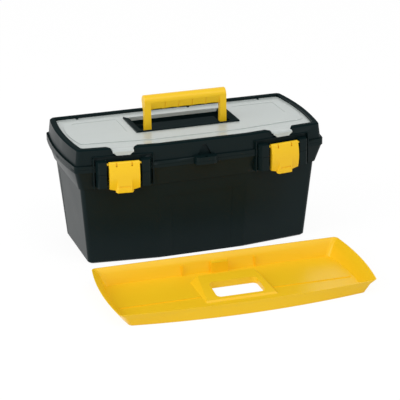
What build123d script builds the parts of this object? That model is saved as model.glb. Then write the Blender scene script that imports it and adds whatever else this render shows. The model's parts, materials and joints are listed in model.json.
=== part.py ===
"""Moulded tool box with a clear organizer cover, a folding handle and a lift-out tray.

Millimetres. The origin is the middle of the base's bottom face, +X runs along the box,
+Y to the back and +Z up. The lid is shut, the handle stands up and the tray stands in front.
"""

import os
from math import cos, radians, sin, tan

from build123d import *

os.makedirs("parts", exist_ok=True)

# Plan shape shared by the base, the lid and the cover
facet_angle = 7.0       # each side of the front turns back by this much
centre_panel = 88.0     # half width of the flat middle of the front
corner_radius = 9.0     # upright corners
wall = 2.5              # moulded wall
seat_gap = 0.3          # air between faces that meet but move apart

# Lower body of the base
base_length_half = 224.5
base_back = 84.0
base_front = 105.0
body_draft = 0.085      # outward lean of the lower walls, mm per mm of height
floor_thickness = 3.0
shoulder_level = 160.0
shoulder_step = 3.0
shoulder_bow = 1.0      # bow of the flare's ends where it starts
cavity_step = 0.5
inner_cut = 4.0         # cut corners of the rooms inside the walls
foot_radius = 3.0       # rolled bottom edge
foot_steps = 1
panel_recess = 2.8      # set-back of the middle front panel
panel_flat = 60.0       # half width of its deepest part, its sides slope out from there
panel_top = 132.0
end_groove_width = 3.0
end_groove_depth = 1.2
end_groove_place = 72.0
end_groove_top = 142.0

# Rim where the base and the lid meet
flare_end = 26.5        # the rim stands out of the body's foot by this much at each end
rim_back = 113.0
rim_front = 134.5
end_bow = 9.5
rim_level = 197.0
rim_height = 6.0
rim_lip = 1.5           # how far the base's rim stands out of the flare under it

# Lid
lid_rim_height = 7.0
lid_set_in = 4.0        # from the rim's edge in to the lid's wall
lid_top = 241.0
lid_end_lean = 7.0      # the lid's top is shorter than the rim by this much at each end
lid_back = 108.0
lid_front = 129.0
lid_edge_radius = 2.5
lid_edge_steps = 1
lid_lip_depth = 4.0     # tongue of the lid that hangs inside the base's rim
lid_lip_gap = 0.5
frame_width = 11.0      # border round the clear cover
cover_depth = 7.0       # ledge of the cover under the lid's top
ledge_width = 4.5
bin_floor = 211.0       # inside floor of the organizer bins
bin_wall = 2.0
bin_divider_place = 8.0

# Handle well in the middle of the lid
well_length_half = 104.0
well_back = 62.8
well_front = 33.8
well_rim = 1.4          # thin wall round the well
well_rim_top = 240.0
well_rear_top = 229.7   # the wall behind the trough ends under the cover's flange
shelf_level = 235.5     # flat front half of the well
shelf_length_half = 92.0
shelf_front = 26.0
trough_front = 20.0
trough_slope = 9.0
trough_bottom = 214.4
trough_back_radius = 9.0
leg_slot_inner = 70.0
leg_slot_front = 19.5
leg_slot_bottom = 224.4
leg_slot_back = 32.0

# Clear cover
cover_clearance = 0.6
cover_thickness = 2.0
cover_raise = 1.0       # raised middle field
field_front = 36.0      # front border strip, in from the cover's front edge
field_back = 26.0       # rear border strip, in from the cover's rear edge
field_end = 7.0
emboss_depth = 0.6
emboss_inner = 121.0
emboss_outer_end = 33.0
emboss_back = 62.0
emboss_front = 24.0
emboss_corner = 4.0
field_web = 1.2         # solid step between the field and the border strips
cover_axis_back = 3.8   # hinge axis in front of the frame's rear inner wall
gutter_width = 7.0      # room under the cover's rear edge, which dips as it opens
gutter_bottom = 230.0
gutter_corner = 3.5     # relief in the frame's rear corners for the opened cover
flange_half = 100.0     # flange that hangs from the cover behind the trough
flange_thickness = 1.4
tongue_inner = 61.0
tongue_outer_end = 73.5
tongue_half = 18.5
ear_width = 3.6
ear_radius = 3.4
ear_gap = 0.5
cover_peg_radius = 0.95
cover_peg_play = 0.05
cover_peg_length = 2.4

# Cover tabs
tab_top_half = 29.0
tab_bend_half = 20.0
tab_half = 16.5
tab_foot_half = 13.0
tab_foot = 229.0
tab_cut = 3.5           # cut lower corners
tab_play = 0.8
tab_thickness = 2.0
tab_out = 4.5           # tab's face, in front of the rim's face
tab_crown = 2.2         # rise of the tab over the cover's top
tab_recess_half = 17.5  # recess in the lid's face behind the tab
tab_recess_bottom = 227.5
tab_recess_depth = 4.4

# Latches
latch_end = 91.0        # latch's middle, in from the rim's end
latch_half = 29.2
latch_axis_level = 213.5
latch_axis_out = 7.5    # in front of the rim's face
latch_barrel = 4.5
latch_plate = 3.0
latch_bulge = 4.7       # the plate bulges between its head and its foot
latch_plate_steps = 5
latch_foot_out = 11.5
latch_bottom = 162.0
latch_corner_level = 165.5
latch_wedge_half = 17.2
latch_wedge_face_half = 13.0
latch_wedge_top = 194.0
latch_wedge_top_out = 16.0
latch_wedge_out = 17.5
latch_lip_bottom = 158.0
latch_lip_chamfer = 1.2
latch_grip_level = 168.5
latch_grip_height = 3.0
latch_grip_half = 11.0
latch_grip_depth = 1.7
latch_skirt = 2.2
latch_skirt_in = 6.0    # skirt and lower lip, in front of the rim's face
latch_lip_height = 3.0
latch_peg_radius = 2.2
latch_peg_play = 0.05
latch_peg_length = 2.4  # how far the pegs reach into the guards
latch_peg_end_gap = 0.5
latch_notch_place = 14.6
latch_notch_width = 2.6
latch_notch_depth = 2.4
latch_notch_level = 209.0
latch_lip_lean = 0.8
catch_top = 178.0
catch_height = 6.0
catch_out = 5.5
catch_root = 20.0       # how far the guards and catches reach back into the flare
catch_taper = 14.0

# Guards on both sides of each latch
guard_inner = 32.8
guard_outer = 48.5
guard_foot = 54.0       # the outer side slopes back to the wall
guard_out = 12.0
guard_top = 219.0
guard_split = 195.0
guard_bottom = 167.0
guard_gap = 0.5
guard_chamfer = 1.2
hood_level = 225.0
hood_height = 1.6
hood_out = 1.5
border_place = 56.0     # thin upright rib outside each guard
border_width = 2.0
border_out = 2.5
border_bottom = 165.0

# Padlock eye
eye_half = 22.0
eye_reach = 13.0
eye_lid_height = 8.0
eye_hole_radius = 3.5
eye_hole_place = 7.0    # in front of the rim's face
eye_corner = 10.0
eye_root = 6.0
scoop_half = 14.5
scoop_top_half = 4.0
scoop_bottom = 211.0
scoop_top = 231.0
scoop_depth = 5.0

# Rear hinges
hinge_end = 101.0       # hinge's middle, in from the rim's end
hinge_axis_back = 119.0
hinge_axis_level = 203.15
hinge_radius = 4.8
hinge_pin_radius = 2.0
hinge_pin_play = 0.05
hinge_base_knuckle = 18.0
hinge_lid_knuckle = 36.0
hinge_gap = 0.5

# Handle
handle_axis_back = -12.0
handle_axis_level = 230.0
handle_top = 302.5
handle_half = 84.0
leg_width = 13.0
leg_thickness = 12.0
leg_end_radius = 5.0
leg_set_back = 0.3      # the legs' front, behind the grip's
grip_back = -8.0        # middle of the grip
grip_radius = 11.0
grip_depth = 30.0
grip_foot_half = 6.8    # half width low down, and of the flat underside
grip_foot_flat = 3.6
grip_foot_rise = 3.2
finger_count = 5
finger_pitch = 28.0
finger_depth = 2.0
finger_land = 0.6       # half of the flat between two hollows
handle_peg_radius = 2.5
handle_peg_play = 0.06
handle_peg_length = 4.0
handle_peg_end_gap = 0.5
handle_end_chamfer = 1.2

# Lift-out tray
tray_x = -1.8
tray_y = -295.3
tray_turn = -0.93
tray_tilt = 2.87        # the rim rises towards the back
tray_height = 30.0      # rim's level over the middle
tray_waist = 21.0       # level where the flared rim starts, over the middle
tray_rim_end = 5.0      # the tray's rim is shorter than the box's rim by this much at each end
tray_rim_back = 99.7
tray_rim_front = 101.5  # at the corners, the front bows out from there
tray_rim_front_bow = 13.0
tray_end_bow = 9.0
tray_waist_in = 10.0    # the waist and the foot are shorter still
tray_waist_back = 93.0
tray_waist_front = 97.5
tray_waist_front_bow = 15.5
tray_foot_in = 20.0
tray_foot_back = 87.0
tray_foot_front = 94.0
tray_foot_front_bow = 19.0
tray_wall = 2.0
tray_floor = 2.5
tray_corner = 9.0
tray_rib_place = 73.0
tray_rib_top = 22.0
tray_rib_width = 1.6
tray_rib_depth = 2.0
tray_boss_half = 16.5
tray_boss_depth = 6.0
tray_boss_top = 23.0
tray_ridge_place = 23.0
tray_ridge_width = 2.0
tray_ridge_height = 1.6
island_half = 72.0
island_top_half = 56.0
island_lean = 6.0
island_back = 50.0
island_front = 54.0
island_level = 16.0
island_front_level = 5.5
hand_hole_middle = 3.0
hand_hole_half = 47.0
hand_hole_back = 15.0
hand_hole_front = 40.0
hand_hole_radius = 9.0
hand_hole_collar = 2.0

# Levels and sizes worked out from the ones above
rise = tan(radians(facet_angle))
rim_length_half = base_length_half + flare_end
lid_length_half = rim_length_half - lid_end_lean
latch_place = rim_length_half - latch_end
hinge_place = rim_length_half - hinge_end
rim_top = rim_level + rim_height
lid_bottom = rim_top + seat_gap
lid_rim_top = rim_top + lid_rim_height
ledge_level = lid_top - cover_depth
cover_bottom = ledge_level + seat_gap
shoulder_grow = body_draft * shoulder_level
frame_back = lid_back - frame_width
room_inset = frame_width + ledge_width
lid_frame_depth = (rim_front - lid_front) * cos(radians(facet_angle))
cover_edge_depth = lid_frame_depth + frame_width
tongue_places = (tongue_inner, lid_length_half - tongue_outer_end)
emboss_outer = lid_length_half - emboss_outer_end
cover_axis_y = frame_back - cover_axis_back
cover_axis_z = cover_bottom + cover_thickness / 2
channel_top = tab_recess_bottom - wall
leg_slot_outer = shelf_length_half
well_top_half = well_length_half + well_rim
cutout_half = well_top_half + cover_clearance
cutout_back = well_back + cover_clearance
cutout_front = well_front + well_rim + cover_clearance
tray_rim_length_half = rim_length_half - tray_rim_end
tray_waist_length_half = tray_rim_length_half - tray_waist_in
tray_foot_length_half = tray_rim_length_half - tray_foot_in


def plan(level, end, back, front, bow, inset=0.0, cut=0.0):
    """Closed plan shape at a level: straight back, bowed or straight ends and a front of three facets."""
    front_corner = front - (end - centre_panel) * rise
    middle = (back - front_corner) / 2
    with BuildSketch(Plane.XY.offset(level)) as shape:
        with BuildLine():
            Line((-end, back), (end, back))
            if bow:
                ThreePointArc((end, back), (end + bow, middle), (end, -front_corner))
                ThreePointArc((-end, -front_corner), (-end - bow, middle), (-end, back))
            else:
                Line((end, back), (end, -front_corner))
                Line((-end, -front_corner), (-end, back))
            Line((end, -front_corner), (centre_panel, -front))
            Line((centre_panel, -front), (-centre_panel, -front))
            Line((-centre_panel, -front), (-end, -front_corner))
        make_face()
        if inset:
            offset(amount=-inset, kind=Kind.INTERSECTION, mode=Mode.REPLACE)
        outer_corners = shape.vertices().filter_by(lambda v: abs(v.X) > centre_panel + corner_radius)
        if cut:
            chamfer(outer_corners, cut)
        else:
            fillet(outer_corners, corner_radius)
    return shape.sketch


def rim_plan(level, inset=0.0, cut=0.0):
    """Rim's plan at a level, drawn in by an inset."""
    return plan(level, rim_length_half, rim_back, rim_front, end_bow, inset, cut)


def lid_plan(level, inset=0.0, cut=0.0):
    """Plan of the lid's top at a level, drawn in by an inset."""
    return plan(level, lid_length_half, lid_back, lid_front, end_bow, inset, cut)


def body_plan(level, grow, inset=0.0, bow=0.0, cut=0.0):
    """Plan of the lower body, grown on all sides and then drawn in."""
    return plan(level, base_length_half + grow, base_back + grow, base_front + grow, bow, inset, cut)


def rectangle(level, x_low, x_high, y_low, y_high):
    """Upright block's plan between two corners, at a level."""
    with BuildSketch(Plane.XY.offset(level)) as shape:
        with Locations(((x_low + x_high) / 2, (y_low + y_high) / 2)):
            Rectangle(x_high - x_low, y_high - y_low)
    return shape.sketch


def polygon(plane, *points):
    """Closed straight-sided face on a plane."""
    with BuildSketch(plane) as shape:
        with BuildLine():
            Polyline(*points, close=True)
        make_face()
    return shape.sketch


def disc(plane, centre, radius):
    """Round face on a plane."""
    with BuildSketch(plane) as shape:
        with Locations(centre):
            Circle(radius)
    return shape.sketch


def facet_origin(side, level):
    """Point on the rim's side facet in front of a latch."""
    return (side * latch_place, -(rim_front - (latch_place - centre_panel) * rise), level)


def facet_level(side, level):
    """Level plane at a latch: local x runs along the facet and local y inwards."""
    angle = radians(facet_angle)
    return Plane(facet_origin(side, level), x_dir=(cos(angle), side * sin(angle), 0), z_dir=(0, 0, 1))


def facet_section(side, along=0.0):
    """Upright plane across a latch: local x runs inwards, local y is the level."""
    angle = radians(facet_angle)
    inwards = (-side * sin(angle), cos(angle), 0)
    run = (cos(angle), side * sin(angle), 0)
    return Plane(facet_origin(side, 0), x_dir=inwards, z_dir=run).offset(along)


def facet_face(side, out):
    """Upright plane along a facet: local x along it, local y up, facing outwards."""
    angle = radians(facet_angle)
    run = (cos(angle), side * sin(angle), 0)
    outwards = (side * sin(angle), -cos(angle), 0)
    return Plane(facet_origin(side, 0), x_dir=run, z_dir=outwards).offset(out)


def across(along=0.0):
    """Upright plane across the box: local x is Y, local y is the level."""
    return Plane((along, 0, 0), x_dir=(0, 1, 0), z_dir=(1, 0, 0))


def guard(side, end, inner_depth, low, high):
    """One guard's plan, on the outer or inner end of a latch, from a low to a high level."""
    lean = (guard_foot - guard_outer) / (guard_out + rim_lip)
    foot_place = guard_outer + lean * (guard_out + min(inner_depth, rim_lip))
    points = [(guard_inner, inner_depth), (foot_place, inner_depth)]
    if inner_depth > rim_lip:
        points.append((foot_place, rim_lip))
    points += [(guard_outer, -guard_out), (guard_inner, -guard_out)]
    with BuildSketch(facet_level(side, low)) as shape:
        with BuildLine():
            Polyline(*[(end * u, v) for u, v in points], close=True)
        make_face()
        chamfer(shape.vertices().group_by(Axis.Y)[0], guard_chamfer)
    return shape.sketch, high - low


def border(side, end, depth, low, high):
    """Thin upright rib outside a guard, from a low to a high level."""
    near, far = end * border_place, end * (border_place + border_width)
    outline = polygon(facet_level(side, low), (near, depth), (far, depth), (far, -border_out),
                      (near, -border_out))
    return outline, high - low


def eye_plan(level):
    """Plan of the padlock eye: a lug in front of the rim with round front corners."""
    with BuildSketch(Plane.XY.offset(level)) as shape:
        with Locations((0, -rim_front - eye_reach / 2)):
            Rectangle(2 * eye_half, eye_reach)
        fillet(shape.vertices().group_by(Axis.Y)[0], eye_corner)
    return shape.sketch


def tab_plan(side, level, front, grow=0.0):
    """Plan of a cover tab, which widens across the lid's frame, from a front place inwards."""
    bend, top, inner = tab_bend_half + grow, tab_top_half + grow, cover_edge_depth + ledge_width
    return polygon(facet_level(side, level), (-bend, front), (bend, front), (bend, lid_frame_depth),
                   (top, cover_edge_depth), (top, inner), (-top, inner), (-top, cover_edge_depth),
                   (-bend, lid_frame_depth))


def panel_plan(level):
    """Plan of the room in front of the sunk middle panel at a level of the leaning front."""
    face = -base_front - body_draft * level
    return polygon(Plane.XY.offset(level), (-centre_panel, face), (-panel_flat, face + panel_recess),
                   (panel_flat, face + panel_recess), (centre_panel, face), (centre_panel, -rim_front),
                   (-centre_panel, -rim_front))


def knuckle(x_low, x_high):
    """Hinge knuckle's round end with its arm to the wall, between two places along the box."""
    with BuildSketch(across(x_low)) as shape:
        with Locations((hinge_axis_back, hinge_axis_level)):
            Circle(hinge_radius)
    return shape.sketch, x_high - x_low


def base_hinge_places():
    """Low and high ends of the base's four knuckles."""
    places = []
    for side in SIDES:
        for end in (-1, 1):
            near = side * hinge_place + end * (hinge_lid_knuckle / 2 + hinge_gap)
            places.append(sorted((near, near + end * hinge_base_knuckle)))
    return places


def island(shrink):
    """Raised middle of the tray's floor, or the hollow under it when shrunk by a wall."""
    low = -shrink
    lean = island_lean
    side_view = [(-island_front + shrink, low), (-island_front + shrink + lean, island_front_level - shrink),
                 (island_back - shrink - lean, island_level - shrink), (island_back - shrink, low)]
    front_view = [(-island_half + shrink, low), (-island_top_half + shrink, island_level),
                  (island_top_half - shrink, island_level), (island_half - shrink, low)]
    with BuildPart() as block:
        extrude(polygon(tray_across, *side_view), amount=island_half, both=True)
        extrude(polygon(tray_along, *front_view), amount=island_front * 2, both=True, mode=Mode.INTERSECT)
    return block.part


SIDES = (-1, 1)
tray_level = Plane((tray_x, tray_y, 0)).rotated((0, 0, tray_turn))
tray_across = Plane(tray_level.origin, x_dir=tray_level.y_dir, z_dir=tray_level.x_dir)
tray_along = Plane(tray_level.origin, x_dir=tray_level.x_dir, z_dir=-tray_level.y_dir)
tray_rise = tray_level.z_dir * cos(radians(tray_tilt)) - tray_level.y_dir * sin(radians(tray_tilt))


# Base: drafted lower body, flared shoulder and rim
with BuildPart() as base_shell:
    body_plans = []
    for step in range(foot_steps + 1):
        turn = radians(90 * step / foot_steps)
        body_plans.append(body_plan(foot_radius * (1 - cos(turn)), 0, foot_radius * (1 - sin(turn))))
    body_plans.append(body_plan(shoulder_level, shoulder_grow))
    loft(body_plans, ruled=True)
    flare_foot = body_plan(shoulder_level, shoulder_grow + shoulder_step, 0, shoulder_bow)
    loft([flare_foot, rim_plan(rim_level, rim_lip)], ruled=True)
    extrude(rim_plan(rim_level), amount=rim_height)
    # guards beside the latches, ribs outside them, and the catches between them
    for side in SIDES:
        for end in (-1, 1):
            guard_plan, guard_height = guard(side, end, catch_root, guard_bottom, guard_split - guard_gap)
            extrude(guard_plan, amount=guard_height)
            border_plan, border_height = border(side, end, catch_root, border_bottom, rim_top)
            extrude(border_plan, amount=border_height)
        catch_foot = catch_top - catch_height
        catch_section = polygon(facet_section(side), (catch_root, catch_top), (-catch_out, catch_top),
                                (-catch_out, catch_foot), (catch_root, catch_foot - catch_taper))
        extrude(catch_section, amount=guard_inner, both=True)
    # hinge knuckles on arms behind the rim
    for low, high in base_hinge_places():
        knuckle_end, knuckle_width = knuckle(low, high)
        extrude(knuckle_end, amount=knuckle_width)
        arm = rectangle(rim_level, low, high, rim_back - rim_lip, hinge_axis_back)
        extrude(arm, amount=rim_height - seat_gap)
    # cavity, in the same three stages
    body_cavity = [body_plan(floor_thickness, 0, wall, 0, inner_cut),
                   body_plan(shoulder_level, shoulder_grow, wall, 0, inner_cut)]
    loft(body_cavity, ruled=True, mode=Mode.SUBTRACT)
    flare_cavity = body_plan(shoulder_level, shoulder_grow + cavity_step, wall, shoulder_bow, inner_cut)
    cavity_rim = rim_plan(rim_level, rim_lip + wall, inner_cut)
    loft([flare_cavity, cavity_rim], ruled=True, mode=Mode.SUBTRACT)
    extrude(cavity_rim, amount=rim_height, mode=Mode.SUBTRACT)
    # sunk middle panel of the front, backed by a pad so that the wall stays as thick
    panel_foot = -base_front + panel_recess
    panel_head = panel_foot - body_draft * panel_top
    pad = polygon(across(), (panel_foot, 0), (panel_foot + wall, 0), (panel_head + wall, panel_top),
                  (panel_head, panel_top + panel_recess))
    extrude(pad, amount=centre_panel, both=True)
    loft([panel_plan(0), panel_plan(panel_top)], ruled=True, mode=Mode.SUBTRACT)
    # upright groove near the back of each end
    for side in SIDES:
        groove_foot = base_length_half - end_groove_depth
        groove_head = groove_foot + body_draft * end_groove_top
        groove = polygon(Plane.XZ.offset(-end_groove_place), (side * groove_foot, foot_radius),
                         (side * rim_length_half, foot_radius), (side * rim_length_half, end_groove_top),
                         (side * groove_head, end_groove_top))
        extrude(groove, amount=end_groove_width / 2, both=True, mode=Mode.SUBTRACT)
    # hinge pin holes
    pin_hole = disc(across(), (hinge_axis_back, hinge_axis_level), hinge_pin_radius + hinge_pin_play)
    extrude(pin_hole, amount=rim_length_half, both=True, mode=Mode.SUBTRACT)
base_shell.part.label = "base_shell"
export_step(base_shell.part, "parts/base_shell.step")


# Lower half of the padlock eye
with BuildPart() as base_eye:
    extrude(eye_plan(rim_level), amount=rim_height)
    eye_hole = disc(Plane.XY.offset(rim_level), (0, -rim_front - eye_hole_place), eye_hole_radius)
    extrude(eye_hole, amount=rim_height, mode=Mode.SUBTRACT)
base_eye.part.label = "base_eye"
export_step(base_eye.part, "parts/base_eye.step")


# Gutter under the cover's rear edge, in the lid's ledge and the bins' walls
gutter_half = lid_length_half - frame_width + gutter_corner
gutter = rectangle(gutter_bottom, -gutter_half, gutter_half, frame_back - gutter_width, frame_back)


# Lid: rim, walls and frame with the cover's ledge, open in the middle for the bins
with BuildPart() as lid_shell:
    lip_level = lid_bottom - lid_lip_depth
    extrude(rim_plan(lip_level, rim_lip + wall + lid_lip_gap), amount=lid_lip_depth)
    extrude(rim_plan(lid_bottom), amount=lid_rim_top - lid_bottom)
    lid_plans = [rim_plan(lid_rim_top, lid_set_in)]
    for step in range(lid_edge_steps + 1):
        turn = radians(90 * step / lid_edge_steps)
        edge_level = lid_top - lid_edge_radius * (1 - sin(turn))
        lid_plans.append(lid_plan(edge_level, lid_edge_radius * (1 - cos(turn))))
    loft(lid_plans, ruled=True)
    # hollow under the lid, round the bins
    hollow_plans = [rim_plan(lip_level, lid_set_in + wall, inner_cut), lid_plan(channel_top, wall, inner_cut)]
    loft(hollow_plans, ruled=True, mode=Mode.SUBTRACT)
    # seat of the cover, and the bins' room inside its ledge
    extrude(lid_plan(ledge_level, frame_width), amount=cover_depth, mode=Mode.SUBTRACT)
    room_over = lid_plan(channel_top, room_inset, inner_cut)
    extrude(room_over, amount=ledge_level - channel_top, mode=Mode.SUBTRACT)
    extrude(gutter, amount=lid_top - gutter_bottom, mode=Mode.SUBTRACT)
    # ears of the cover's hinge on the frame's rear inner wall, the outer ones with a hole
    nose = 0.4 * ear_radius
    for side in SIDES:
        for place, end in zip(tongue_places, (-1, 1)):
            ear_plane = across(side * (place + end * (tongue_half + ear_gap + ear_width / 2)))
            ear = polygon(ear_plane, (cover_axis_y - ear_radius, cover_axis_z - nose),
                          (cover_axis_y - nose, cover_axis_z - ear_radius),
                          (frame_back + wall, cover_axis_z - ear_radius),
                          (frame_back + wall, cover_axis_z + ear_radius),
                          (cover_axis_y - nose, cover_axis_z + ear_radius),
                          (cover_axis_y - ear_radius, cover_axis_z + nose))
            extrude(ear, amount=ear_width / 2, both=True)
        ear_hole = disc(ear_plane, (cover_axis_y, cover_axis_z), cover_peg_radius + cover_peg_play)
        extrude(ear_hole, amount=ear_width / 2, both=True, mode=Mode.SUBTRACT)
    for side in SIDES:
        # notch through the frame for the cover's tab, and a recess in the wall behind the tab
        extrude(tab_plan(side, ledge_level, 0, tab_play), amount=cover_depth, mode=Mode.SUBTRACT)
        recess = polygon(facet_face(side, 0), (-tab_recess_half, tab_recess_bottom),
                         (tab_recess_half, tab_recess_bottom), (tab_recess_half, ledge_level),
                         (-tab_recess_half, ledge_level))
        extrude(recess, amount=-(lid_set_in + tab_recess_depth), mode=Mode.SUBTRACT)
        # guards beside the latch, which hang a little over the base's rim, and ribs outside them
        for end in (-1, 1):
            guard_plan, guard_height = guard(side, end, lid_set_in + wall / 2, lid_bottom, guard_top)
            extrude(guard_plan, amount=guard_height)
            guard_plan, guard_height = guard(side, end, -guard_gap, guard_split, lid_bottom)
            extrude(guard_plan, amount=guard_height)
            border_plan, border_height = border(side, end, lid_set_in + wall / 2, lid_bottom, hood_level)
            extrude(border_plan, amount=border_height)
        # hood over the latch
        hood = polygon(facet_section(side), (lid_set_in + wall, hood_level),
                       (lid_set_in - hood_out, hood_level),
                       (lid_set_in - hood_out, hood_level + hood_height),
                       (lid_set_in + wall, hood_level + hood_height + hood_out))
        extrude(hood, amount=border_place + border_width, both=True)
        # holes in the guards for the latch's pegs
        for end in (-1, 1):
            peg_hole = disc(facet_section(side, end * guard_inner), (-latch_axis_out, latch_axis_level),
                            latch_peg_radius + latch_peg_play)
            extrude(peg_hole, amount=end * (latch_peg_length + latch_peg_end_gap), mode=Mode.SUBTRACT)
    # root of the padlock eye under a blunt three-cornered thumb scoop
    eye_foot = rectangle(lid_bottom, -eye_half, eye_half, -rim_front, -rim_front + eye_root)
    extrude(eye_foot, amount=eye_lid_height)
    scoop_back = -rim_front + lid_set_in + scoop_depth
    scoop_pad = rectangle(lid_rim_top - wall, -scoop_half - wall, scoop_half + wall, -lid_front,
                          scoop_back + wall)
    extrude(scoop_pad, amount=channel_top - lid_rim_top + 2 * wall)
    scoop = polygon(Plane.XZ.offset(-scoop_back), (-scoop_half, scoop_bottom), (scoop_half, scoop_bottom),
                    (scoop_top_half, scoop_top), (-scoop_top_half, scoop_top))
    extrude(scoop, amount=scoop_depth + eye_root, mode=Mode.SUBTRACT)
    # hinge knuckles between the base's
    for side in SIDES:
        low = side * hinge_place - hinge_lid_knuckle / 2
        knuckle_end, knuckle_width = knuckle(low, low + hinge_lid_knuckle)
        extrude(knuckle_end, amount=knuckle_width)
        arm = rectangle(lid_bottom, low, low + hinge_lid_knuckle, rim_back - rim_lip, hinge_axis_back)
        extrude(arm, amount=hinge_axis_level + hinge_radius - lid_bottom)
    pin_hole = disc(across(), (hinge_axis_back, hinge_axis_level), hinge_pin_radius + hinge_pin_play)
    extrude(pin_hole, amount=rim_length_half, both=True, mode=Mode.SUBTRACT)
lid_shell.part.label = "lid_shell"
export_step(lid_shell.part, "parts/lid_shell.step")


# Upper half of the padlock eye
with BuildPart() as lid_eye:
    extrude(eye_plan(lid_bottom), amount=eye_lid_height)
    eye_hole = disc(Plane.XY.offset(lid_bottom), (0, -rim_front - eye_hole_place), eye_hole_radius)
    extrude(eye_hole, amount=eye_lid_height, mode=Mode.SUBTRACT)
lid_eye.part.label = "lid_eye"
export_step(lid_eye.part, "parts/lid_eye.step")


# Walls inside the bins' room: the handle well's block, lower behind, cross walls and dividers
with BuildPart() as bin_walls:
    block_foot = bin_floor - wall
    well_block = rectangle(block_foot, -well_top_half, well_top_half, -well_front - well_rim, well_back)
    extrude(well_block, amount=well_rim_top - block_foot)
    rear_block = rectangle(block_foot, -well_top_half, well_top_half, well_back, well_back + well_rim)
    extrude(rear_block, amount=well_rear_top - block_foot)
    for side in SIDES:
        wall_places = sorted((side * well_top_half, side * (well_top_half - bin_wall)))
        cross_wall = rectangle(block_foot, *wall_places, -lid_front, frame_back)
        extrude(cross_wall, amount=ledge_level - block_foot)
        wall_places = sorted((side * (well_top_half - bin_wall), side * rim_length_half))
        divider = rectangle(block_foot, *wall_places, bin_divider_place - bin_wall / 2,
                            bin_divider_place + bin_wall / 2)
        extrude(divider, amount=ledge_level - block_foot)
    room = lid_plan(block_foot, room_inset, inner_cut)
    extrude(room, amount=well_rim_top - block_foot, mode=Mode.INTERSECT)

# Organizer bins with the handle well between them, up to the underside of the lid's ledge
with BuildPart() as bin_block:
    extrude(lid_plan(block_foot, room_inset - wall, inner_cut), amount=channel_top - block_foot)
    extrude(lid_plan(bin_floor, room_inset, inner_cut), amount=channel_top - bin_floor, mode=Mode.SUBTRACT)
    add(bin_walls.part)
    extrude(gutter, amount=lid_top - gutter_bottom, mode=Mode.SUBTRACT)
    # handle well: sloping border, flat shelf in front and trough for the folded grip behind
    well_mouth = rectangle(well_rim_top, -well_length_half, well_length_half, -well_front, well_back)
    well_shelf = rectangle(shelf_level, -shelf_length_half, shelf_length_half, -shelf_front, well_back)
    loft([well_shelf, well_mouth], ruled=True, mode=Mode.SUBTRACT)
    bend_y = well_back - trough_back_radius
    bend_z = trough_bottom + trough_back_radius
    bend_reach = trough_back_radius * cos(radians(45))
    with BuildSketch(across()) as trough:
        with BuildLine():
            Line((trough_front, shelf_level), (trough_front + trough_slope, trough_bottom))
            Line((trough_front + trough_slope, trough_bottom), (bend_y, trough_bottom))
            ThreePointArc((bend_y, trough_bottom), (bend_y + bend_reach, bend_z - bend_reach),
                          (well_back, bend_z))
            Line((well_back, bend_z), (well_back, shelf_level))
            Line((well_back, shelf_level), (trough_front, shelf_level))
        make_face()
    extrude(trough.sketch, amount=shelf_length_half, both=True, mode=Mode.SUBTRACT)
    # slots that the handle's legs fold into, and the holes for its pegs
    for side in SIDES:
        slot_places = sorted((side * leg_slot_inner, side * leg_slot_outer))
        slot = rectangle(leg_slot_bottom, *slot_places, -leg_slot_front, leg_slot_back)
        extrude(slot, amount=shelf_level - leg_slot_bottom, mode=Mode.SUBTRACT)
        peg_hole = disc(across(side * leg_slot_outer), (handle_axis_back, handle_axis_level),
                        handle_peg_radius + handle_peg_play)
        extrude(peg_hole, amount=side * (handle_peg_length + handle_peg_end_gap), mode=Mode.SUBTRACT)
    # room under the well, open below
    hollow_roof = leg_slot_bottom - wall
    trough_roof = trough_bottom - wall
    hollow_turn = trough_front + trough_slope - wall
    hollow_back = well_back - trough_back_radius / 2
    under_well = polygon(across(), (-well_front, block_foot), (-well_front, hollow_roof),
                         (trough_front, hollow_roof), (hollow_turn, trough_roof), (hollow_back, trough_roof),
                         (hollow_back, block_foot))
    extrude(under_well, amount=well_top_half - wall, both=True, mode=Mode.SUBTRACT)

# The block in lengths that meet face to face: bins at the ends, in front and behind, the well between
well_outer_front = -well_front - well_rim
well_outer_back = well_back + well_rim
block_lengths = (
    ("left_bins", -rim_length_half, -well_top_half, -lid_front, lid_back),
    ("right_bins", well_top_half, rim_length_half, -lid_front, lid_back),
    ("front_middle_bin", -well_top_half, well_top_half, -lid_front, well_outer_front),
    ("rear_middle_bin", -well_top_half, well_top_half, well_outer_back, lid_back),
    ("well_left", -well_top_half, -leg_slot_inner, well_outer_front, well_outer_back),
    ("well_middle", -leg_slot_inner, leg_slot_inner, well_outer_front, well_outer_back),
    ("well_right", leg_slot_inner, well_top_half, well_outer_front, well_outer_back),
)
for name, *places in block_lengths:
    with BuildPart() as bins:
        add(bin_block.part)
        span = rectangle(block_foot, *places)
        extrude(span, amount=well_rim_top - block_foot, mode=Mode.INTERSECT)
    bins.part.label = name
    export_step(bins.part, f"parts/{name}.step")


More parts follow.
